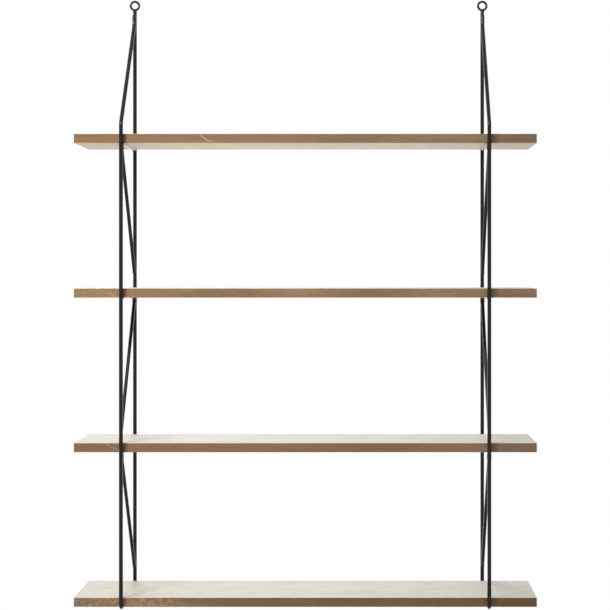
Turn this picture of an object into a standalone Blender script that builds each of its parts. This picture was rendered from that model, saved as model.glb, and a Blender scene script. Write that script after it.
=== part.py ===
# Hanging wall shelf: four boards carried by two welded round-bar side frames.
# Metres, +Z up. The front faces -Y, the wall is at +Y, and left is -X as seen from the front.
# The origin lies midway between the centres of the two hanging eyes.

import bmesh
import bpy
from math import acos, atan2, cos, pi, sin
from mathutils import Matrix, Vector

# Boards
board_count = 4
board_length = 1.150
board_depth = 0.171
board_thickness = 0.023
board_pitch = 0.384
edging_thickness = 0.0015
edging_easing = 0.0008
easing_segments = 2

# Side frames
board_overhang = 0.119
rod_to_board_clearance = 0.0045
outer_rod_diameter = 0.010
brace_rod_diameter = 0.009
eye_above_top_board = 0.355
front_bend_above_top_board = 0.026
top_joint_below_eye = 0.027
top_joint_length = 0.026
diagonal_end_above_board = 0.040

# Bend radii on the rods' centre lines
top_bend_radius = 0.030
front_bend_radius = 0.020
bottom_bend_radius = 0.010
brace_bend_radius = 0.010

# Hanging eyes
eye_wire_diameter = 0.006
eye_bore_diameter = 0.016

# Grooves under the boards, which the rods nest in
groove_depth = 0.005
groove_side_clearance = 0.0005

# Weld beads, as half sizes along X, Y and Z
eye_weld = Vector((0.0050, 0.0050, 0.0040))
strand_weld = Vector((0.0040, 0.0035, 0.0120))
butt_weld = Vector((0.0056, 0.0028, 0.0056))
bend_weld = Vector((0.0064, 0.0034, 0.0064))
end_weld = Vector((0.0050, 0.0026, 0.0070))

# Clearances
seat_gap = 0.0003
glue_line = 0.0002
overrun = 0.004

# Facets
rod_bevel_resolution = 5
arc_steps = 7
eye_ring_segments = 32
eye_wire_segments = 12
weld_segments = 12
weld_rings = 8
groove_segments = 32
weld_distance = 0.00001

# Derived sizes
outer_rod_radius = outer_rod_diameter / 2
brace_rod_radius = brace_rod_diameter / 2
eye_wire_radius = eye_wire_diameter / 2
eye_ring_radius = (eye_bore_diameter + eye_wire_diameter) / 2
frame_spacing = board_length - 2 * board_overhang
frame_depth = board_depth + outer_rod_diameter + 2 * rod_to_board_clearance
rear_rod_y = 0
front_rod_y = -frame_depth
middle_y = (rear_rod_y + front_rod_y) / 2
eye_bottom_z = -eye_ring_radius - eye_wire_radius
panel_length = board_length - 2 * (edging_thickness + glue_line)
panel_depth = board_depth - 2 * (edging_thickness + glue_line)
side_places = {"left": -frame_spacing / 2, "right": frame_spacing / 2}


def board_top(number):
    return -eye_above_top_board - (number - 1) * board_pitch


def board_underside(number):
    return board_top(number) - board_thickness


def support_height(number, rod_radius):
    # Centre line of the rod that carries a board, nested in the board's groove
    return board_underside(number) + groove_depth - seat_gap - rod_radius


def clear_scene():
    for item in list(bpy.data.objects):
        bpy.data.objects.remove(item, do_unlink=True)


def make_collection(name):
    collection = bpy.data.collections.new(name)
    bpy.context.scene.collection.children.link(collection)
    return collection


def make_material(name, colour, metallic, roughness):
    material = bpy.data.materials.new(name)
    material.use_nodes = True
    shader = material.node_tree.nodes["Principled BSDF"]
    shader.inputs["Base Color"].default_value = (*colour, 1)
    shader.inputs["Metallic"].default_value = metallic
    shader.inputs["Roughness"].default_value = roughness
    return material


def black_steel():
    return make_material("black_coated_steel", (0.020, 0.020, 0.018), 0, 0.35)


def pale_oak():
    return make_material("pale_oak_face", (0.74, 0.70, 0.61), 0, 0.45)


def brown_oak():
    return make_material("brown_oak_edging", (0.30, 0.19, 0.11), 0, 0.50)


def add_mesh_object(name, mesh, collection, material=None):
    item = bpy.data.objects.new(name, mesh)
    collection.objects.link(item)
    if material:
        mesh.materials.append(material)
    return item


def as_cutter(item):
    item.hide_render = True
    item.display_type = "WIRE"
    return item


def smooth_round_faces(mesh):
    mesh.shade_smooth()
    mesh.set_sharp_from_angle(angle=pi / 5)


def add_boolean(item, operation, other):
    modifier = item.modifiers.new(f"{operation.lower()}_{other.name}", "BOOLEAN")
    modifier.operation = operation
    modifier.solver = "EXACT"
    modifier.object = other


def arc_points(centre, radius, start, end):
    # Points of an arc in the YZ plane, angles measured from +Y towards +Z
    angles = [start + (end - start) * step / arc_steps for step in range(arc_steps + 1)]
    return [centre + radius * Vector((cos(angle), sin(angle))) for angle in angles]


def rounded_path(corners, radii):
    # A path of (y, z) points whose inner corners are rounded to the given radii
    points = [corners[0]]
    for before, corner, after, radius in zip(corners, corners[1:], corners[2:], radii):
        back = (before - corner).normalized()
        ahead = (after - corner).normalized()
        half_angle = back.angle(ahead) / 2
        centre = corner + (back + ahead).normalized() * radius / sin(half_angle)
        reach = radius / (sin(half_angle) / cos(half_angle))
        from_centre = corner + back * reach - centre
        to_centre = corner + ahead * reach - centre
        start = atan2(from_centre.y, from_centre.x)
        turn = atan2(to_centre.y, to_centre.x) - start
        turn = (turn + pi) % (2 * pi) - pi
        points += arc_points(centre, radius, start, start + turn)
    return points + [corners[-1]]


def tube_mesh(name, points, radius, place_x):
    # A round bar bent along a path in the YZ plane, turned from a curve into a closed mesh
    curve = bpy.data.curves.new(name, "CURVE")
    curve.dimensions = "3D"
    curve.bevel_depth = radius
    curve.bevel_resolution = rod_bevel_resolution
    curve.use_fill_caps = True
    spline = curve.splines.new("POLY")
    spline.points.add(len(points) - 1)
    for point, place in zip(spline.points, points):
        point.co = (place_x, place.x, place.y, 1)
    guide = bpy.data.objects.new(name + "_path", curve)
    bpy.context.scene.collection.objects.link(guide)
    graph = bpy.context.evaluated_depsgraph_get()
    mesh = bpy.data.meshes.new_from_object(guide.evaluated_get(graph))
    bpy.data.objects.remove(guide, do_unlink=True)
    mesh.name = name
    shape = bmesh.new()
    shape.from_mesh(mesh)
    bmesh.ops.remove_doubles(shape, verts=shape.verts, dist=weld_distance)
    bmesh.ops.recalc_face_normals(shape, faces=shape.faces)
    shape.to_mesh(mesh)
    shape.free()
    smooth_round_faces(mesh)
    return mesh


def weld_bead(name, centre, half_sizes, collection):
    shape = bmesh.new()
    place = Matrix.Translation(centre) @ Matrix.Diagonal((*half_sizes, 1))
    bmesh.ops.create_uvsphere(
        shape, u_segments=weld_segments, v_segments=weld_rings, radius=1, matrix=place
    )
    mesh = bpy.data.meshes.new(name)
    shape.to_mesh(mesh)
    shape.free()
    smooth_round_faces(mesh)
    return as_cutter(add_mesh_object(name, mesh, collection))


def box_mesh(name, centre, size, eased_edges=None):
    # A box, with the edges that eased_edges picks from their two ends rounded over
    shape = bmesh.new()
    place = Matrix.Translation(centre) @ Matrix.Diagonal((*size, 1))
    bmesh.ops.create_cube(shape, size=1, matrix=place)
    if eased_edges:
        edges = [edge for edge in shape.edges if eased_edges(*(v.co - centre for v in edge.verts))]
        bmesh.ops.bevel(
            shape, geom=edges, offset=edging_easing, segments=easing_segments,
            affect="EDGES", profile=0.5, material=-1,
        )
    mesh = bpy.data.meshes.new(name)
    shape.to_mesh(mesh)
    shape.free()
    return mesh


def outer_rod_path(end_extension=0):
    # From the front strand's top end, down the front, under the last board and up the back
    joint_y = rear_rod_y - outer_rod_diameter - seat_gap
    joint_top = -top_joint_below_eye
    joint_bottom = joint_top - top_joint_length
    bend_z = board_top(1) + front_bend_above_top_board
    run_z = support_height(board_count, outer_rod_radius)
    rear_top = eye_bottom_z - seat_gap + end_extension
    corners = [
        Vector((joint_y, joint_top)),
        Vector((joint_y, joint_bottom)),
        Vector((front_rod_y, bend_z)),
        Vector((front_rod_y, run_z)),
        Vector((rear_rod_y, run_z)),
        Vector((rear_rod_y, rear_top)),
    ]
    radii = [top_bend_radius, front_bend_radius, bottom_bend_radius, bottom_bend_radius]
    return rounded_path(corners, radii)


def make_outer_rod(side, place_x, parts, cutters, material):
    name = f"{side}_outer_rod"
    mesh = tube_mesh(name, outer_rod_path(), outer_rod_radius, place_x)
    rod = add_mesh_object(name, mesh, parts, material)
    joint_z = -top_joint_below_eye - top_joint_length / 2
    centre = Vector((place_x, rear_rod_y - outer_rod_radius, joint_z))
    add_boolean(rod, "UNION", weld_bead(f"{side}_strand_weld", centre, strand_weld, cutters))
    return rod


def make_rod_sleeve(side, place_x, cutters):
    # The space of the outer rod and its clearance, which trims what is welded to it
    name = f"{side}_rod_sleeve"
    mesh = tube_mesh(name, outer_rod_path(seat_gap), outer_rod_radius + seat_gap, place_x)
    return as_cutter(add_mesh_object(name, mesh, cutters))


def make_hanging_eye(side, place_x, sleeve, parts, cutters, material):
    name = f"{side}_hanging_eye"
    bpy.ops.mesh.primitive_torus_add(
        major_radius=eye_ring_radius, minor_radius=eye_wire_radius,
        major_segments=eye_ring_segments, minor_segments=eye_wire_segments,
        location=(place_x, rear_rod_y, 0), rotation=(pi / 2, 0, 0),
    )
    eye = bpy.context.object
    for collection in list(eye.users_collection):
        collection.objects.unlink(eye)
    parts.objects.link(eye)
    eye.name = name
    eye.data.name = name
    eye.data.materials.append(material)
    smooth_round_faces(eye.data)
    centre = Vector((place_x, rear_rod_y, eye_bottom_z))
    add_boolean(eye, "UNION", weld_bead(f"{side}_eye_weld", centre, eye_weld, cutters))
    add_boolean(eye, "DIFFERENCE", sleeve)
    return eye


def brace_shape(number):
    # A brace that bends at the front, worked out in (y, z): its path and its three weld places
    support_z = support_height(number, brace_rod_radius)
    bend_y = front_rod_y + outer_rod_radius + seat_gap + brace_rod_radius
    support_end = Vector((rear_rod_y - outer_rod_radius - seat_gap, support_z))
    bend_centre = Vector((bend_y + brace_bend_radius, support_z - brace_bend_radius))
    end_z = board_top(number + 1) + diagonal_end_above_board
    run = frame_depth - outer_rod_diameter - brace_rod_diameter
    lean = atan2(run, bend_centre.y - end_z)
    end_y = rear_rod_y - outer_rod_radius - seat_gap - brace_rod_radius * cos(lean)
    diagonal_end = Vector((end_y, end_z))
    to_end = diagonal_end - bend_centre
    tangent_angle = atan2(to_end.y, to_end.x) + 2 * pi - acos(brace_bend_radius / to_end.length)
    path = [support_end]
    path += arc_points(bend_centre, brace_bend_radius, pi / 2, tangent_angle)
    path.append(diagonal_end)
    welds = {
        "butt": (support_end, butt_weld),
        "bend": (Vector((bend_y - brace_rod_radius, bend_centre.y)), bend_weld),
        "end": (diagonal_end + brace_rod_radius * Vector((cos(lean), sin(lean))), end_weld),
    }
    return path, welds


def make_brace(side, place_x, number, sleeve, parts, cutters, material):
    # Odd braces bend at the front rod, even ones are turned round and bend at the rear rod
    path, welds = brace_shape(number)
    if number % 2 == 0:
        path = [Vector((2 * middle_y - point.x, point.y)) for point in path]
        welds = {
            kind: (Vector((2 * middle_y - place.x, place.y)), size)
            for kind, (place, size) in welds.items()
        }
    name = f"{side}_brace_{number}"
    mesh = tube_mesh(name, path, brace_rod_radius, place_x)
    brace = add_mesh_object(name, mesh, parts, material)
    for kind, (place, size) in welds.items():
        centre = Vector((place_x, place.x, place.y))
        add_boolean(brace, "UNION", weld_bead(f"{name}_{kind}_weld", centre, size, cutters))
    add_boolean(brace, "DIFFERENCE", sleeve)
    return brace


def make_groove_cutter(side, place_x, number, cutters):
    rod_radius = outer_rod_radius if number == board_count else brace_rod_radius
    groove_radius = rod_radius + groove_side_clearance
    groove_z = board_underside(number) + groove_depth - groove_radius
    name = f"board_{number}_{side}_groove"
    length = board_depth + 2 * overrun
    place = Matrix.Translation((place_x, middle_y, groove_z)) @ Matrix.Rotation(pi / 2, 4, "X")
    shape = bmesh.new()
    bmesh.ops.create_cone(
        shape, cap_ends=True, segments=groove_segments,
        radius1=groove_radius, radius2=groove_radius, depth=length, matrix=place,
    )
    mesh = bpy.data.meshes.new(name)
    shape.to_mesh(mesh)
    shape.free()
    return as_cutter(add_mesh_object(name, mesh, cutters))


def make_panel(number, grooves, parts, material):
    name = f"board_{number}_panel"
    centre = Vector((0, middle_y, board_top(number) - board_thickness / 2))
    mesh = box_mesh(name, centre, (panel_length, panel_depth, board_thickness))
    panel = add_mesh_object(name, mesh, parts, material)
    for groove in grooves:
        add_boolean(panel, "DIFFERENCE", groove)
    return panel


def make_long_edging(number, place, direction, grooves, parts, material):
    # The front and rear strips run the board's whole length and show its grooves
    name = f"board_{number}_{place}_edging"
    offset = direction * (board_depth - edging_thickness) / 2
    centre = Vector((0, middle_y + offset, board_top(number) - board_thickness / 2))

    def is_outer(start, end):
        return start.y * direction > 0 and end.y * direction > 0

    mesh = box_mesh(name, centre, (board_length, edging_thickness, board_thickness), is_outer)
    edging = add_mesh_object(name, mesh, parts, material)
    for groove in grooves:
        add_boolean(edging, "DIFFERENCE", groove)
    return edging


def make_end_edging(number, place, direction, parts, material):
    # The end strips fit between the long ones
    name = f"board_{number}_{place}_edging"
    offset = direction * (board_length - edging_thickness) / 2
    centre = Vector((offset, middle_y, board_top(number) - board_thickness / 2))

    def is_outer(start, end):
        level = abs(start.z - end.z) < edging_easing
        return level and start.x * direction > 0 and end.x * direction > 0

    mesh = box_mesh(name, centre, (edging_thickness, panel_depth, board_thickness), is_outer)
    return add_mesh_object(name, mesh, parts, material)


def make_side_frame(side, place_x, parts, cutters, material):
    sleeve = make_rod_sleeve(side, place_x, cutters)
    make_outer_rod(side, place_x, parts, cutters, material)
    make_hanging_eye(side, place_x, sleeve, parts, cutters, material)
    for number in range(1, board_count):
        make_brace(side, place_x, number, sleeve, parts, cutters, material)


def make_board(number, parts, cutters, face_material, edge_material):
    grooves = [
        make_groove_cutter(side, place_x, number, cutters)
        for side, place_x in side_places.items()
    ]
    make_panel(number, grooves, parts, face_material)
    make_long_edging(number, "front", -1, grooves, parts, edge_material)
    make_long_edging(number, "rear", 1, grooves, parts, edge_material)
    make_end_edging(number, "left", -1, parts, edge_material)
    make_end_edging(number, "right", 1, parts, edge_material)


def main():
    clear_scene()
    parts = make_collection("hanging_wall_shelf")
    cutters = make_collection("cutters")
    steel = black_steel()
    face = pale_oak()
    edge = brown_oak()
    for side, place_x in side_places.items():
        make_side_frame(side, place_x, parts, cutters, steel)
    for number in range(1, board_count + 1):
        make_board(number, parts, cutters, face, edge)


main()
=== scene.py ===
import bmesh
import bpy
import math
import random
from mathutils import Matrix, Vector


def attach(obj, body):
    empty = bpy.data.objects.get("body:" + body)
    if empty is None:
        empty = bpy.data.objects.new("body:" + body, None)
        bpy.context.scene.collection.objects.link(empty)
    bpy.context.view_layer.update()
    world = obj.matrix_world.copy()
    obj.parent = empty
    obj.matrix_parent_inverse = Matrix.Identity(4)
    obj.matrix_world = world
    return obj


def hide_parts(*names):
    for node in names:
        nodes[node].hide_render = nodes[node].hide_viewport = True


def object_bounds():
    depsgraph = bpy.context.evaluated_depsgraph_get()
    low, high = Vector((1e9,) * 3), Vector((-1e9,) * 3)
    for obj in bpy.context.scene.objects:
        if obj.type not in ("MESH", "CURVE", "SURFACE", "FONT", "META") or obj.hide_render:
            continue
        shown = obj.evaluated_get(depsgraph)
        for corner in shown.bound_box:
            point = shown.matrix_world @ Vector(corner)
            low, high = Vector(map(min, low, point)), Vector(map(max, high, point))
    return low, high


# Hanging wall shelf: four pale boards with brown lippings in two welded frames of black bar.
# Metres, front towards -Y. The origin is midway between the two hanging eyes.

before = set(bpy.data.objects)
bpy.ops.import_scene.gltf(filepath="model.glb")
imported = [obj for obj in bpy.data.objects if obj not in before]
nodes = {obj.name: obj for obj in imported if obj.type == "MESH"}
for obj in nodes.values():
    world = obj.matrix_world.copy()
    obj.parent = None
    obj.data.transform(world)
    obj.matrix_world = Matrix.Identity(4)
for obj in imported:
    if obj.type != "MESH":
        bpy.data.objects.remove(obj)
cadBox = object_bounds()
print("frame loaded:", len(nodes), "nodes")


def hexColour(text):
    # An sRGB hex colour as the linear one that sockets take
    channels = [int(text[i:i + 2], 16) / 255 for i in (1, 3, 5)]
    linear = [c / 12.92 if c <= 0.04045 else ((c + 0.055) / 1.055) ** 2.4 for c in channels]
    return (*linear, 1)


def addNode(tree, kind, inputs=None, stops=None, **settings):
    # A node with its settings. An input is a value, another node, whose first output is linked, or an output.
    # Stops are the positions and colours of a colour ramp. A colour mix takes its share at input 0, its
    # colours at 6 and 7, and gives its colour at output 2.
    node = tree.nodes.new(kind)
    for name, value in settings.items():
        setattr(node, name, value)
    for key, value in (inputs or {}).items():
        if isinstance(value, bpy.types.Node):
            value = value.outputs[0]
        if isinstance(value, bpy.types.NodeSocket):
            tree.links.new(value, node.inputs[key])
        else:
            node.inputs[key].default_value = value
    if stops:
        elements = node.color_ramp.elements
        while len(elements) < len(stops):
            elements.new(0.5)
        for element, (position, colour) in zip(elements, stops):
            element.position = position
            element.color = hexColour(colour)
    return node


def newMaterial(name):
    material = bpy.data.materials.new(name)
    material.use_nodes = True
    tree = material.node_tree
    return material, tree, tree.nodes["Principled BSDF"]


def finishPiece(bm, name, material, smoothAngle=None):
    mesh = bpy.data.meshes.new(name)
    bm.to_mesh(mesh)
    bm.free()
    mesh.materials.append(material)
    if smoothAngle:
        mesh.shade_smooth()
        mesh.set_sharp_from_angle(angle=smoothAngle)
    piece = bpy.data.objects.new(name, mesh)
    bpy.context.scene.collection.objects.link(piece)
    return piece


# Camera and studio

view = {
    "camera": (0.149, -3.308, -0.692),
    "lens": 74.34,                    # mm
    "sensor": 36,                     # mm wide
    "shift": (-0.0989, -0.0582),
}


def makeCamera():
    data = bpy.data.cameras.new("camera")
    data.lens = view["lens"]
    data.sensor_width = view["sensor"]
    data.shift_x, data.shift_y = view["shift"]
    camera = bpy.data.objects.new("camera", data)
    camera.location = view["camera"]
    camera.rotation_euler = (math.pi / 2, 0, 0)
    bpy.context.scene.collection.objects.link(camera)
    bpy.context.scene.camera = camera


light = {
    "world": 0.10,                    # level of the world's own light
    "lamps": {                        # glints: whether the lamp itself shows as a highlight
        "key": {"place": (-1.1, -1.2, 0.1), "aim": (0, 0, -0.9),
                "size": 0.40, "watts": 13.0, "glints": False},
        "low": {"place": (-1.4, -1.8, -1.3), "aim": (0, 0, -0.9),
                "size": 0.8, "watts": 6.6, "glints": False},
        "right": {"place": (2.4, -0.3, -0.6), "aim": (0.5, -0.1, -0.9),
                  "size": 1.2, "watts": 8.5, "glints": False},
        "top": {"place": (-0.7, -1.5, 0.95), "aim": (0, -0.1, -1.1),
                "size": 1.6, "watts": 15.5, "glints": True},
        "backTop": {"place": (-0.90, 1.5, 0.9), "aim": (0, -0.1, -1.1),
                    "size": 1.6, "watts": 39.5, "glints": False},
        "backLow": {"place": (-0.1, 1.9, -1.6), "aim": (0, -0.1, -0.6),
                    "size": 2.0, "watts": 9.0, "glints": True},
    },
    # Lights only the steel, for the bright spot on each front bar's upper bend
    "glint": {"place": (-2.65, -3.2, 1.33), "aim": (0, -0.2, -0.33),
              "size": 1.1, "watts": 195.0, "glints": True},
}


def makeLamp(name, settings):
    data = bpy.data.lights.new(name, "AREA")
    data.shape = "DISK"
    data.size = settings["size"]
    data.energy = settings["watts"]
    lamp = bpy.data.objects.new(name, data)
    lamp.location = settings["place"]
    aim = Vector(settings["aim"]) - lamp.location
    lamp.rotation_euler = aim.to_track_quat("-Z", "Y").to_euler()
    lamp.visible_camera = False
    lamp.visible_glossy = settings["glints"]
    bpy.context.scene.collection.objects.link(lamp)
    return lamp


def seenRays(tree):
    # 1 where the camera looks at the surface, also in a reflection or through a clear one
    path = addNode(tree, "ShaderNodeLightPath")
    seen = path.outputs["Is Camera Ray"]
    for kind in ("Is Glossy Ray", "Is Transmission Ray"):
        seen = addNode(tree, "ShaderNodeMath", {0: seen, 1: path.outputs[kind]}, operation="MAXIMUM")
    return seen


def makeWorld():
    # White where the camera and gloss look, a plain soft level where it lights the object
    world = bpy.data.worlds.new("studio")
    world.use_nodes = True
    tree = world.node_tree
    tree.nodes.clear()
    strength = addNode(tree, "ShaderNodeMapRange", {
        "Value": seenRays(tree), "To Min": light["world"], "To Max": 1.0})
    background = addNode(tree, "ShaderNodeBackground", {"Color": (1, 1, 1, 1), "Strength": strength})
    addNode(tree, "ShaderNodeOutputWorld", {"Surface": background})
    bpy.context.scene.world = world


floor = {
    "colour": "#F2F1EE",
    "roughness": 0.9,
    "specular": 0.1,
    "drop": 0.30,                     # below the lowest bar
    "size": 9.0,
    "nearLift": 0.6,                  # how far it is lifted to white under the object, where its shadow falls
    "shadowMiddle": (0.15, -0.50),
    "shadowReach": (0.50, 1.35),      # the lift grows between these distances
}


def makeFloor():
    # Pale matt studio floor. It is seen lifted to white, less so where the object's shadow falls.
    material, tree, shader = newMaterial("paleStudioFloor")
    shader.inputs["Base Color"].default_value = hexColour(floor["colour"])
    shader.inputs["Roughness"].default_value = floor["roughness"]
    shader.inputs["Specular IOR Level"].default_value = floor["specular"]
    level = cadBox[0][2] - floor["drop"]
    near, far = floor["shadowReach"]
    place = addNode(tree, "ShaderNodeTexCoord").outputs["Object"]
    away = addNode(tree, "ShaderNodeVectorMath", {0: place, 1: (*floor["shadowMiddle"], level)},
                   operation="DISTANCE")
    lift = addNode(tree, "ShaderNodeMapRange", {
        "Value": away.outputs["Value"], "From Min": near, "From Max": far,
        "To Min": floor["nearLift"], "To Max": 1.0}, interpolation_type="SMOOTHSTEP")
    lift = addNode(tree, "ShaderNodeMath", {0: lift, 1: seenRays(tree)}, operation="MULTIPLY")
    white = addNode(tree, "ShaderNodeEmission", {"Color": (1, 1, 1, 1), "Strength": 1.0})
    both = addNode(tree, "ShaderNodeMixShader", {0: lift, 1: shader, 2: white})
    tree.links.new(both.outputs[0], tree.nodes["Material Output"].inputs["Surface"])
    bm = bmesh.new()
    bmesh.ops.create_grid(bm, x_segments=1, y_segments=1, size=floor["size"] / 2,
                          matrix=Matrix.Translation((0, 0, level)))
    finishPiece(bm, "floor", material)


bpy.context.scene.view_settings.view_transform = "Standard"
makeCamera()
makeWorld()
makeFloor()
for lampName, lampSettings in light["lamps"].items():
    makeLamp(lampName + "Lamp", lampSettings)
steelPieces = bpy.data.collections.new("steelPieces")
makeLamp("glintLamp", light["glint"]).light_linking.receiver_collection = steelPieces
print("camera, floor and lights set")


# Boards: pale panels with brown lippings. The CAD shapes are right, so they get their woods.

board = {
    "top": -0.355,                    # top of board 1
    "pitch": 0.384,
    "thickness": 0.023,
    "groove": 0.005,                  # depth of the grooves that the bars lie in
}


def boardMiddle(number):
    return board["top"] - board["pitch"] * (number - 1) - board["thickness"] / 2


figure = {                            # both oaks are flat-sawn, with the grain along the piece
    "sway": (0.71, 0.125),            # length and width over which the rings wander
    "swing": 0.04,                    # how far they wander
    "tilt": (0, math.radians(3.2), math.radians(0.9)),    # of the log's axis
    "patch": (0.25, 0.045),           # length and width of lighter and darker patches
    "fibreLength": 45,                # in widths
    "poreLevels": (0.62, 0.72),       # noise at which a pore begins and is full
}


def grainScale(length, width):
    return (1 / length, 1 / width, 1 / width)


def woodPattern(tree, wood, grain, cut):
    # Growth rings, fibre streaks, pores and patches, with the grain along X or Y
    place = addNode(tree, "ShaderNodeTexCoord").outputs["Object"]
    if grain == "Y":
        place = addNode(tree, "ShaderNodeMapping", {"Vector": place, "Rotation": (0, 0, math.pi / 2)})
    place = addNode(tree, "ShaderNodeMapping", {"Vector": place, "Location": cut})
    sway = addNode(tree, "ShaderNodeMapping", {"Vector": place, "Scale": grainScale(*figure["sway"])})
    sway = addNode(tree, "ShaderNodeTexNoise", {"Vector": sway, "Scale": 1.0, "Detail": 2.0})
    sway = addNode(tree, "ShaderNodeVectorMath", {0: sway.outputs["Color"], 1: (0.5, 0.5, 0.5)},
                   operation="SUBTRACT")
    sway = addNode(tree, "ShaderNodeVectorMath", {0: sway, 1: (0, figure["swing"], figure["swing"])},
                   operation="MULTIPLY")
    swayed = addNode(tree, "ShaderNodeVectorMath", {0: place, 1: sway}, operation="ADD")
    tilted = addNode(tree, "ShaderNodeMapping", {"Vector": swayed, "Rotation": figure["tilt"]})
    rings = addNode(tree, "ShaderNodeTexWave", {
        "Vector": tilted, "Scale": math.pi / 10 / wood["ring"], "Distortion": 1.2,
        "Detail": 2.0, "Detail Scale": 0.6, "Detail Roughness": 0.6},
        wave_type="RINGS", rings_direction="X", wave_profile="SAW")
    fibres = addNode(tree, "ShaderNodeMapping", {
        "Vector": swayed, "Scale": grainScale(wood["fibre"] * figure["fibreLength"], wood["fibre"])})
    fibres = addNode(tree, "ShaderNodeTexNoise", {"Vector": fibres, "Scale": 1.0, "Detail": 3.0})
    pores = addNode(tree, "ShaderNodeMapping", {
        "Vector": swayed, "Scale": grainScale(wood["poreLength"], wood["poreWidth"])})
    pores = addNode(tree, "ShaderNodeTexNoise", {"Vector": pores, "Scale": 1.0, "Detail": 1.0})
    pores = addNode(tree, "ShaderNodeMapRange", {
        "Value": pores, "From Min": figure["poreLevels"][0], "From Max": figure["poreLevels"][1]})
    patches = addNode(tree, "ShaderNodeMapping", {"Vector": place, "Scale": grainScale(*figure["patch"])})
    patches = addNode(tree, "ShaderNodeTexNoise", {"Vector": patches, "Scale": 1.0, "Detail": 3.0})
    return {"rings": rings.outputs["Fac"], "fibres": fibres, "pores": pores, "patches": patches}


def drawGrain(tree, base, wood, line, pattern):
    # Rings and fibres in the line colour and pores in their own, laid over the base
    for mark, (first, full, depth) in wood["marks"].items():
        colour = hexColour(wood["pore"] if mark == "pores" else line)
        share = addNode(tree, "ShaderNodeMapRange", {
            "Value": pattern[mark], "From Min": first, "From Max": full, "To Max": depth})
        base = addNode(tree, "ShaderNodeMix", {0: share, 6: base, 7: colour}, data_type="RGBA").outputs[2]
    return base


def finishWood(tree, shader, base, wood, pattern):
    # Open pores and raised fibre streaks catch the light, and the streaks are more matt than the rest
    height = addNode(tree, "ShaderNodeMath", {0: pattern["fibres"], 1: pattern["pores"]},
                     operation="SUBTRACT")
    strength, distance = wood["relief"]
    bump = addNode(tree, "ShaderNodeBump", {"Height": height, "Strength": strength, "Distance": distance})
    smooth, matt = wood["roughness"]
    rough = addNode(tree, "ShaderNodeMapRange", {
        "Value": pattern["fibres"], "To Min": smooth, "To Max": matt})
    tree.links.new(base, shader.inputs["Base Color"])
    tree.links.new(bump.outputs[0], shader.inputs["Normal"])
    tree.links.new(rough.outputs[0], shader.inputs["Roughness"])
    shader.inputs["IOR"].default_value = wood["ior"]


# In both oaks, marks are drawn from a first to a full level of their pattern, and cover the base by the
# third number. Relief is the bump's strength and height. Roughness is that of the plain wood and of its
# fibre streaks.
paleOak = {
    "light": "#EBEAE3",
    "mid": "#E2DFD5",
    "line": "#D3CBB8",
    "pore": "#BCB19A",
    "undersideShadeTint": (1.07, 0.91, 0.74),  # its tint: painted shade, warmer and darker than the top, as the underside looks in the light from below
    "ring": 0.0075,                   # spacing of the growth rings on the face
    "fibre": 0.0012,                  # width of the fibre streaks, drawn coarser than the real 0.3 mm
    "poreWidth": 0.0009,              # of the open pores, drawn coarser than the real 0.3 mm
    "poreLength": 0.016,
    "marks": {"rings": (0.55, 1.0, 0.34), "fibres": (0.40, 0.8, 0.45), "pores": (0.0, 1.0, 0.50)},
    "relief": (0.35, 0.0001),
    "roughness": (0.46, 0.62),
    "ior": 1.48,
    "cut": ((0, 0.37), (0.045, -0.02), (0, 0.11)),    # place in the log along X, Y, Z: start, step per board
}


def makePaleOak(number):
    # White-oiled oak veneer: chalky off-white with faint warm rings and fine open pores, matt
    material, tree, shader = newMaterial(f"whiteOiledOak{number}")
    pattern = woodPattern(tree, paleOak, "X", [start + step * number for start, step in paleOak["cut"]])
    base = addNode(tree, "ShaderNodeValToRGB", {"Fac": pattern["patches"]}, [
        (0.3, paleOak["light"]), (0.7, paleOak["mid"])])
    base = drawGrain(tree, base, paleOak, paleOak["line"], pattern)
    # Painted shade: below the board's middle the colour is drawn warmer and darker, as the underside looks in
    # the light from below
    split = addNode(tree, "ShaderNodeSeparateXYZ", {0: addNode(tree, "ShaderNodeTexCoord").outputs["Object"]})
    below = addNode(tree, "ShaderNodeMath", {0: split.outputs["Z"], 1: boardMiddle(number)},
                    operation="LESS_THAN")
    shadedUnderside = addNode(tree, "ShaderNodeVectorMath", {0: base, 1: paleOak["undersideShadeTint"]}, operation="MULTIPLY")
    base = addNode(tree, "ShaderNodeMix", {0: below, 6: base, 7: shadedUnderside}, data_type="RGBA").outputs[2]
    finishWood(tree, shader, base, paleOak, pattern)
    return material


brownOak = {
    "pore": "#4E3A28",
    "stroke": "#D2B48C",
    "ray": "#C2A47F",
    "ring": 0.0060,
    "fibre": 0.0010,                  # drawn coarser than the real 0.3 mm
    "poreWidth": 0.0008,              # drawn coarser than the real 0.3 mm
    "poreLength": 0.010,
    "marks": {"rings": (0.45, 1.0, 0.40), "fibres": (0.45, 0.8, 0.60), "pores": (0.0, 1.0, 0.55)},
    "relief": (0.4, 0.00012),
    "roughness": (0.42, 0.58),
    "ior": 1.5,
    "cutAcross": 0.02,
    "cutStep": 0.017,                 # each board's lippings come from this much higher in the log
    "strokeDepth": 0.55,
    "strokeCore": (0.3, 0.8),         # share of a stroke's width and length that is at full depth
    "raySize": (0.0038, 0.0167, 0.0111),    # width, depth and length of a ray fleck
    "rayLean": math.radians(-40),
    "rayLevels": (0.52, 0.60),        # noise at which a ray fleck begins and is full
    "rayDepth": 0.65,
    "rayCore": 0.7,                   # share of a ray zone that is at full depth
    "driftSpan": (-0.5, 0.4),         # x between which a lipping's tone and its painted light drift
    "endSpan": (0.43, 0.50),          # x between which it darkens to the right end's painted shade
    "paintedEndShade": 0.82,
    "oiledEdge": 0.0006,              # the white oil of the faces laps this far round the edges
}


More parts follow.
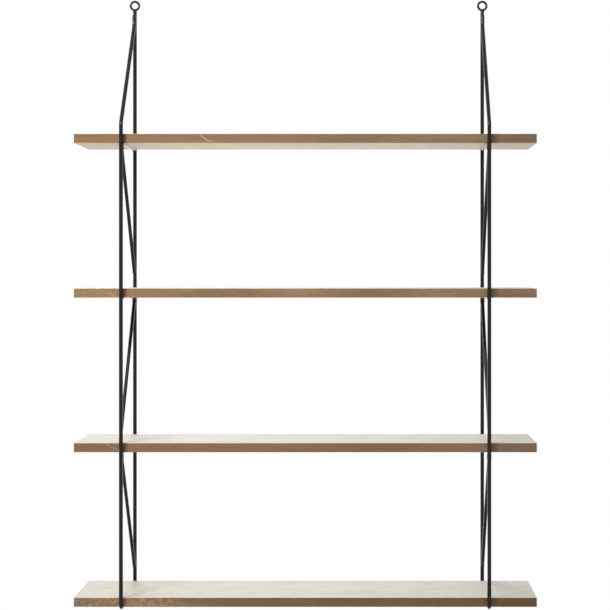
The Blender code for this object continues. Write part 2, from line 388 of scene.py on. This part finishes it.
def driftToneAndLight(tree, base, drift, along):
    # The tone drifts along the lipping, partly the wood's own tone and partly painted light and shade, and
    # its right-hand end is darker with painted shade
    start, end = brownOak["driftSpan"]
    share = addNode(tree, "ShaderNodeMapRange", {"Value": along, "From Min": start, "From Max": end})
    tint = addNode(tree, "ShaderNodeMix", {0: share, 6: (*drift[0], 1), 7: (*drift[1], 1)}, data_type="RGBA")
    base = addNode(tree, "ShaderNodeVectorMath", {0: base, 1: tint.outputs[2]}, operation="MULTIPLY")
    start, end = brownOak["endSpan"]
    paintedShade = addNode(tree, "ShaderNodeMapRange", {
        "Value": along, "From Min": start, "From Max": end, "To Min": 1.0, "To Max": brownOak["paintedEndShade"]})
    return addNode(tree, "ShaderNodeVectorMath", {0: base, "Scale": paintedShade}, operation="SCALE")


def strokeMask(tree, place, middle, lean, width, reach):
    # A thin leaning stroke on the lipping, fading at its ends
    offset = addNode(tree, "ShaderNodeVectorMath", {0: place, 1: middle}, operation="SUBTRACT")
    masks = []
    for axis, size, core in zip(((1, 0, lean), (0, 0, 1)), (width, reach), brownOak["strokeCore"]):
        away = addNode(tree, "ShaderNodeVectorMath", {0: offset, 1: axis}, operation="DOT_PRODUCT")
        away = addNode(tree, "ShaderNodeMath", {0: away.outputs["Value"]}, operation="ABSOLUTE")
        masks.append(addNode(tree, "ShaderNodeMapRange", {
            "Value": away, "From Min": size * core, "From Max": size, "To Min": 1.0, "To Max": 0.0}))
    return addNode(tree, "ShaderNodeMath", {0: masks[0], 1: masks[1]}, operation="MULTIPLY")


def rayMask(tree, place, along, zone):
    # Short leaning ray flecks over the whole zone, fading at its ends
    middle, reach = zone
    away = addNode(tree, "ShaderNodeMath", {0: along, 1: middle}, operation="SUBTRACT")
    away = addNode(tree, "ShaderNodeMath", {0: away}, operation="ABSOLUTE")
    inside = addNode(tree, "ShaderNodeMapRange", {
        "Value": away, "From Min": reach * brownOak["rayCore"], "From Max": reach,
        "To Min": brownOak["rayDepth"], "To Max": 0.0})
    scale = [1 / size for size in brownOak["raySize"]]
    rays = addNode(tree, "ShaderNodeMapping", {"Vector": place, "Rotation": (0, brownOak["rayLean"], 0)})
    rays = addNode(tree, "ShaderNodeMapping", {"Vector": rays, "Scale": scale})
    rays = addNode(tree, "ShaderNodeTexNoise", {"Vector": rays, "Scale": 1.0, "Detail": 1.0})
    rays = addNode(tree, "ShaderNodeMapRange", {
        "Value": rays, "From Min": brownOak["rayLevels"][0], "From Max": brownOak["rayLevels"][1]})
    return addNode(tree, "ShaderNodeMath", {0: rays, 1: inside}, operation="MULTIPLY")


def drawRays(tree, base, number, place, along):
    # The board's single strokes, and the flecks of its ray zone
    lipping = lippings[number]
    strokeColour, rayColour = hexColour(brownOak["stroke"]), hexColour(brownOak["ray"])
    for x, height, lean, width, reach in lipping["strokes"]:
        stroke = strokeMask(tree, place, (x, 0, boardMiddle(number) + height), lean, width, reach)
        stroke = addNode(tree, "ShaderNodeMath", {0: stroke, 1: brownOak["strokeDepth"]},
                         operation="MULTIPLY")
        base = addNode(tree, "ShaderNodeMix", {0: stroke, 6: base, 7: strokeColour},
                       data_type="RGBA").outputs[2]
    if lipping["rayZone"]:
        rays = rayMask(tree, place, along, lipping["rayZone"])
        base = addNode(tree, "ShaderNodeMix", {0: rays, 6: base, 7: rayColour}, data_type="RGBA").outputs[2]
    return base


def oilEdges(tree, base, number, height, fibres):
    # The white oil of the faces runs over the lipping as far as its eased edges
    away = addNode(tree, "ShaderNodeMath", {0: height, 1: boardMiddle(number)}, operation="SUBTRACT")
    away = addNode(tree, "ShaderNodeMath", {0: away}, operation="ABSOLUTE")
    edge = board["thickness"] / 2 - brownOak["oiledEdge"]
    oiled = addNode(tree, "ShaderNodeMapRange", {
        "Value": away, "From Min": edge, "From Max": edge + brownOak["oiledEdge"] / 2})
    lightColour, lineColour = hexColour(paleOak["light"]), hexColour(paleOak["line"])
    pale = addNode(tree, "ShaderNodeMix", {0: fibres, 6: lightColour, 7: lineColour}, data_type="RGBA")
    return addNode(tree, "ShaderNodeMix", {0: oiled, 6: base, 7: pale.outputs[2]},
                   data_type="RGBA").outputs[2]


# Each board's lipping has its own tone, which drifts between the two tints from left to right; the drift is
# partly the wood's own tone and partly painted light and shade.
# The cut is how far along the plank it was taken.
# Strokes are single pale rays: x, height above mid board, lean, half width, half length down the board.
# A ray zone is a stretch where the cut runs along many of them: x of its middle, half length.
lippings = {
    1: {"light": "#AC8862", "mid": "#997754", "dark": "#7D6043", "rayZone": None,
        "cut": 0.84, "drift": ((0.91, 0.84, 0.85), (1.23, 1.41, 1.62)),
        "strokes": [(-0.2495, 0.0000, 1.36, 0.0050, 0.010), (-0.2310, -0.0080, 1.20, 0.0024, 0.005)]},
    2: {"light": "#B49068", "mid": "#A17E59", "dark": "#836545", "rayZone": None,
        "cut": 2.30, "drift": ((0.90, 0.92, 0.96), (1.29, 1.34, 1.59)),
        "strokes": [(-0.4800, -0.0040, 1.80, 0.0034, 0.006)]},
    3: {"light": "#B58F68", "mid": "#A37E57", "dark": "#846542", "rayZone": None,
        "cut": 3.76, "drift": ((0.85, 0.84, 0.93), (0.99, 1.04, 1.24)),
        "strokes": [(-0.4790, 0.0005, 1.75, 0.0026, 0.011)]},
    4: {"light": "#AB855C", "mid": "#946F47", "dark": "#765535", "rayZone": (-0.440, 0.150),
        "cut": 2.12, "drift": ((1.21, 1.40, 1.76), (0.72, 0.68, 0.62)),
        "strokes": []},
}


def makeBrownOak(number, grain):
    # Solid oak lipping under brown oil: warm mid brown with darker fibres and pale ray flecks, satin
    lipping = lippings[number]
    material, tree, shader = newMaterial(f"brownOiledOak{grain}{number}")
    cut = (lipping["cut"], brownOak["cutAcross"], brownOak["cutStep"] * number)
    pattern = woodPattern(tree, brownOak, grain, cut)
    base = addNode(tree, "ShaderNodeValToRGB", {"Fac": pattern["patches"]}, [
        (0.28, lipping["light"]), (0.52, lipping["mid"]), (0.80, lipping["dark"])])
    base = drawGrain(tree, base, brownOak, lipping["dark"], pattern)
    place = addNode(tree, "ShaderNodeTexCoord").outputs["Object"]
    split = addNode(tree, "ShaderNodeSeparateXYZ", {0: place})
    # Painted light and shade along the lipping, mixed with its own tone drift
    base = driftToneAndLight(tree, base, lipping["drift"], split.outputs["X"])
    if grain == "X":
        base = drawRays(tree, base, number, place, split.outputs["X"])
    base = oilEdges(tree, base, number, split.outputs["Z"], pattern["fibres"])
    finishWood(tree, shader, base, brownOak, pattern)
    return material


for number in lippings:
    nodes[f"board_{number}_panel"].material_slots[0].material = makePaleOak(number)
    longWood = makeBrownOak(number, "X")
    endWood = makeBrownOak(number, "Y")
    for place, wood in (("front", longWood), ("rear", longWood), ("left", endWood), ("right", endWood)):
        nodes[f"board_{number}_{place}_edging"].material_slots[0].material = wood
print("boards finished in pale oak with brown lippings")


# Side frames: black bar, bent and welded

coat = {
    "base": "#080807",
    "dusty": "#0E0D0C",
    "cloud": 0.060,                   # width of the dusty clouds
    "roughness": (0.09, 0.15),        # of the clean and of the dusty paint
    "ior": 1.24,
    "tint": (0.97, 1.0, 0.74, 1),     # of the reflections: a painted warm reflection colour, standing in for the pale oak they mirror
    "clear": {"Coat Weight": 1.0, "Coat IOR": 1.22, "Coat Roughness": 0.06},    # its thin clear gloss
    "peel": 0.0016,                   # width of the orange peel's cells
    "peelRelief": (0.05, 0.00004),    # its bump strength and height
}


def makePowderCoat():
    # Black polyester powder coat on cold-drawn steel bar: deep black, a soft satin line along each bar
    # and a slight orange peel that breaks up the highlight
    material, tree, shader = newMaterial("satinBlackPowderCoat")
    place = addNode(tree, "ShaderNodeTexCoord").outputs["Object"]
    cloud = addNode(tree, "ShaderNodeTexNoise", {"Vector": place, "Scale": 1 / coat["cloud"], "Detail": 4.0})
    colour = addNode(tree, "ShaderNodeValToRGB", {"Fac": cloud}, [
        (0.35, coat["base"]), (0.75, coat["dusty"])])
    smooth, matt = coat["roughness"]
    gloss = addNode(tree, "ShaderNodeMapRange", {
        "Value": cloud, "From Min": 0.3, "From Max": 0.7, "To Min": smooth, "To Max": matt})
    peel = addNode(tree, "ShaderNodeTexNoise", {"Vector": place, "Scale": 1 / coat["peel"], "Detail": 1.0})
    strength, distance = coat["peelRelief"]
    bump = addNode(tree, "ShaderNodeBump", {"Height": peel, "Strength": strength, "Distance": distance})
    tree.links.new(colour.outputs[0], shader.inputs["Base Color"])
    tree.links.new(gloss.outputs[0], shader.inputs["Roughness"])
    tree.links.new(bump.outputs[0], shader.inputs["Normal"])
    shader.inputs["IOR"].default_value = coat["ior"]
    # Painted reflection colour: the coat's reflections are tinted warm
    shader.inputs["Specular Tint"].default_value = coat["tint"]
    for socket, value in coat["clear"].items():
        shader.inputs[socket].default_value = value
    return material


bars = {
    "spacing": 0.912,                 # between the two side frames
    "depth": 0.1898,                  # between the front and rear bars' centres
    "outerRadius": 0.00499,
    "braceRadius": 0.0045,
    "touch": 0.00015,                 # paint gap between bars that touch
    "sides": 28,                      # facets round a bar
    "bendSteps": 10,
    "chamfer": (0.0005, 0.0004),      # taken off a sawn end
    "merge": 0.00001,                 # points nearer than this become one
    "smoothAngle": math.radians(40),
}


def barRing(bm, centre, direction, radius, sides):
    turn = direction.to_track_quat("Z", "X").to_matrix().to_4x4()
    made = bmesh.ops.create_circle(bm, cap_ends=False, segments=sides, radius=radius,
                                   matrix=Matrix.Translation(centre) @ turn)
    return made["verts"]


def ringEdges(verts):
    # The edges that lie between these points
    inside = set(verts)
    edges = dict.fromkeys(edge for vert in verts for edge in vert.link_edges)
    return [edge for edge in edges if set(edge.verts) <= inside]


def lastRing(geometry):
    # The points among what an extrusion or a spin gives back
    return [item for item in geometry if isinstance(item, bmesh.types.BMVert)]


def pushBar(bm, ring, step):
    ring = lastRing(bmesh.ops.extrude_edge_only(bm, edges=ringEdges(ring))["geom"])
    bmesh.ops.translate(bm, verts=ring, vec=step)
    return ring


def capBar(bm, ring, outward):
    # A sawn end with its burr taken off
    face = bmesh.ops.contextual_create(bm, geom=ringEdges(ring))["faces"][0]
    face.normal_update()
    if face.normal.dot(outward) < 0:
        face.normal_flip()
    bmesh.ops.inset_individual(bm, faces=[face], thickness=bars["chamfer"][0], depth=bars["chamfer"][1])


def bendBar(corners, bends, radius):
    # A round bar pushed through its bends: straight lengths are extruded and bends are spun
    bm = bmesh.new()
    direction = (corners[1] - corners[0]).normalized()
    ring = barRing(bm, corners[0], direction, radius, bars["sides"])
    capBar(bm, ring, -direction)
    at = corners[0]
    for corner, after, bend in zip(corners[1:], corners[2:], bends):
        ahead = (after - corner).normalized()
        turn = direction.angle(ahead)
        reach = bend * math.tan(turn / 2)
        start = corner - direction * reach
        ring = pushBar(bm, ring, start - at)
        axis = direction.cross(ahead).normalized()
        centre = start + axis.cross(direction) * bend
        spun = bmesh.ops.spin(bm, geom=ring + ringEdges(ring), cent=centre, axis=axis, dvec=(0, 0, 0),
                              angle=turn, steps=bars["bendSteps"], use_merge=False, use_duplicate=False)
        ring = lastRing(spun["geom_last"])
        direction = ahead
        at = corner + direction * reach
    ring = pushBar(bm, ring, corners[-1] - at)
    capBar(bm, ring, direction)
    bmesh.ops.remove_doubles(bm, verts=bm.verts, dist=bars["merge"])
    bmesh.ops.recalc_face_normals(bm, faces=bm.faces)
    return bm


bead = {
    "spacing": 0.0026,                # between its drops
    "jitter": 0.14,                   # how far their sizes vary
    "sides": 12,
}
# Each weld is a run of drops, given with their half sizes. A straight one lies on both sides of the bar, with
# its distance to the side and the heights of its ends. A round one goes round the bar's end.
welds = {
    "tack": {"drop": (0.0017, 0.0022, 0.0020), "side": 0.0030, "span": (-0.029, -0.051), "seed": 10},
    "bend": {"drop": (0.0021, 0.0027, 0.0021), "side": 0.0042, "span": (0.0048, -0.0056), "seed": 40},
    "foot": {"drop": (0.0018, 0.0024, 0.0020), "side": 0.0036, "span": (0.0050, -0.0050), "seed": 50},
    "neck": {"drop": (0.0021, 0.0021, 0.0024), "radius": 0.0031, "count": 9, "seed": 30},
    "butt": {"drop": (0.0019, 0.0020, 0.0019), "radius": 0.0042, "count": 10, "seed": 60},
}


def layWeld(bm, name, points, variant):
    # Overlapping drops at the points. Each run swells and shrinks in its own way.
    shake = random.Random(welds[name]["seed"] + variant)
    for point in points:
        swell = 1 + shake.uniform(-bead["jitter"], bead["jitter"])
        place = Matrix.Translation(point) @ Matrix.Diagonal((*(Vector(welds[name]["drop"]) * swell), 1))
        bmesh.ops.create_uvsphere(bm, u_segments=bead["sides"], v_segments=bead["sides"] // 2 + 2, radius=1,
                                  matrix=place)


def weldSides(bm, middles, number=0):
    # Straight welds on both sides of a bar
    for sign in (-1, 1):
        for name, middle in middles.items():
            start, end = (middle + Vector((sign * welds[name]["side"], 0, z)) for z in welds[name]["span"])
            count = round((end - start).length / bead["spacing"])
            points = [start.lerp(end, i / count) for i in range(count + 1)]
            layWeld(bm, name, points, number + sign)


def weldRound(bm, name, centre, across, number=0):
    # A round weld. Across holds the two directions of its circle.
    count, radius = welds[name]["count"], welds[name]["radius"]
    turns = [math.tau * i / count for i in range(count)]
    points = [centre + (across[0] * math.cos(turn) + across[1] * math.sin(turn)) * radius for turn in turns]
    layWeld(bm, name, points, number)


def seatHeight(number, radius):
    # Middle of a level bar that lies in the grooves under a board
    return boardMiddle(number) - board["thickness"] / 2 + board["groove"] - bars["touch"] - radius


outerRod = {
    "tack": (-0.027, -0.053),         # top and foot of the length that is welded to the back run
    "slopeFoot": -0.329,
    "backTop": -0.0143,
    "bends": (0.030, 0.020, 0.010, 0.010),    # under the tack, at the front, and at the two lower corners
}


def makeOuterRod(side, x, steel):
    # One bar from its tacked top down the slope and the front, under the lowest board and up the back
    run = seatHeight(max(lippings), bars["outerRadius"])
    jointY = -2 * bars["outerRadius"] - bars["touch"]
    corners = [Vector((x, y, z)) for y, z in (
        (jointY, outerRod["tack"][0]), (jointY, outerRod["tack"][1]), (-bars["depth"], outerRod["slopeFoot"]),
        (-bars["depth"], run), (0, run), (0, outerRod["backTop"]))]
    bm = bendBar(corners, outerRod["bends"], bars["outerRadius"])
    weldSides(bm, {"tack": Vector((x, jointY / 2, 0))})
    piece = finishPiece(bm, f"{side}OuterRod", steel, bars["smoothAngle"])
    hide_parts(f"{side}_outer_rod")
    return piece


eye = {
    "wireRadius": 0.0030,
    "ringRadius": 0.0110,
    "neck": -0.0140,                  # height of the weld that holds it
    "steps": 40,
    "sides": 18,
}


def makeEye(side, x, steel):
    # A ring of wire welded to the top of the back run
    bm = bmesh.new()
    middle = Vector((x, 0, 0))
    foot = middle - Vector((0, 0, eye["ringRadius"]))
    ring = barRing(bm, foot, Vector((1, 0, 0)), eye["wireRadius"], eye["sides"])
    bmesh.ops.spin(bm, geom=ring + ringEdges(ring), cent=middle, axis=(0, 1, 0), dvec=(0, 0, 0),
                   angle=math.tau, steps=eye["steps"], use_merge=True, use_duplicate=False)
    bmesh.ops.recalc_face_normals(bm, faces=bm.faces)
    weldRound(bm, "neck", Vector((x, 0, eye["neck"])), (Vector((1, 0, 0)), Vector((0, 1, 0))))
    piece = finishPiece(bm, f"{side}HangingEye", steel, bars["smoothAngle"])
    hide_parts(f"{side}_hanging_eye")
    return piece


brace = {
    "bend": 0.010,
    "footHeight": 0.040,              # above the board below
    "buttIn": 0.001,                  # the level end runs this far into the upright
    "runOn": 0.0035,                  # the foot runs into the upright under its weld
    "footWeld": (0, 0.0036, 0.0022),  # from the foot's middle towards the upright and up
}


def bracePath(number):
    # Corners and welds of a brace that bends at the front: its level length carries a board, and its slope
    # runs down to the other upright
    level = seatHeight(number, bars["braceRadius"])
    inset = bars["outerRadius"] + bars["touch"]
    bendY = -bars["depth"] + inset + bars["braceRadius"]
    foot = board["top"] - number * board["pitch"] + brace["footHeight"]
    run = bars["depth"] - 2 * bars["outerRadius"] - 2 * bars["braceRadius"]
    lean = math.atan2(run, level - brace["bend"] - foot)
    footPoint = Vector((0, -inset - bars["braceRadius"] * math.cos(lean), foot))
    # The corner is where the level line meets the slope's line, which leaves the bend tangent to bendY
    bendMiddle = Vector((0, bendY + brace["bend"], level - brace["bend"]))
    toFoot = footPoint - bendMiddle
    angle = math.atan2(toFoot.z, toFoot.y) - math.acos(brace["bend"] / toFoot.length)
    tangent = bendMiddle + brace["bend"] * Vector((0, math.cos(angle), math.sin(angle)))
    slope = (footPoint - tangent).normalized()
    corner = tangent + slope * ((level - tangent.z) / slope.z)
    start = Vector((0, -bars["outerRadius"] + brace["buttIn"], level))
    places = {
        "bend": Vector((0, bendY - bars["braceRadius"], level - brace["bend"])),
        "foot": footPoint + Vector(brace["footWeld"]),
        "butt": Vector((0, -inset, level)),
    }
    return [start, corner, footPoint + slope * brace["runOn"]], places


def makeBrace(side, x, number, steel):
    corners, places = bracePath(number)

    def placed(point):
        # The second brace is turned round, so it bends at the back
        y = -bars["depth"] - point.y if number == 2 else point.y
        return Vector((x, y, point.z))

    bm = bendBar([placed(corner) for corner in corners], (brace["bend"],), bars["braceRadius"])
    weldSides(bm, {name: placed(places[name]) for name in ("bend", "foot")}, number)
    weldRound(bm, "butt", placed(places["butt"]), (Vector((1, 0, 0)), Vector((0, 0, 1))), number)
    piece = finishPiece(bm, f"{side}Brace{number}", steel, bars["smoothAngle"])
    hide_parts(f"{side}_brace_{number}")
    return piece


steel = makePowderCoat()
framePieces = []
for side, x in (("left", -bars["spacing"] / 2), ("right", bars["spacing"] / 2)):
    framePieces.append(makeOuterRod(side, x, steel))
    framePieces.append(makeEye(side, x, steel))
    for number in (1, 2, 3):
        framePieces.append(makeBrace(side, x, number, steel))
for piece in framePieces:
    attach(piece, "root")
    steelPieces.objects.link(piece)
print("side frames bent and welded:", len(framePieces), "pieces")
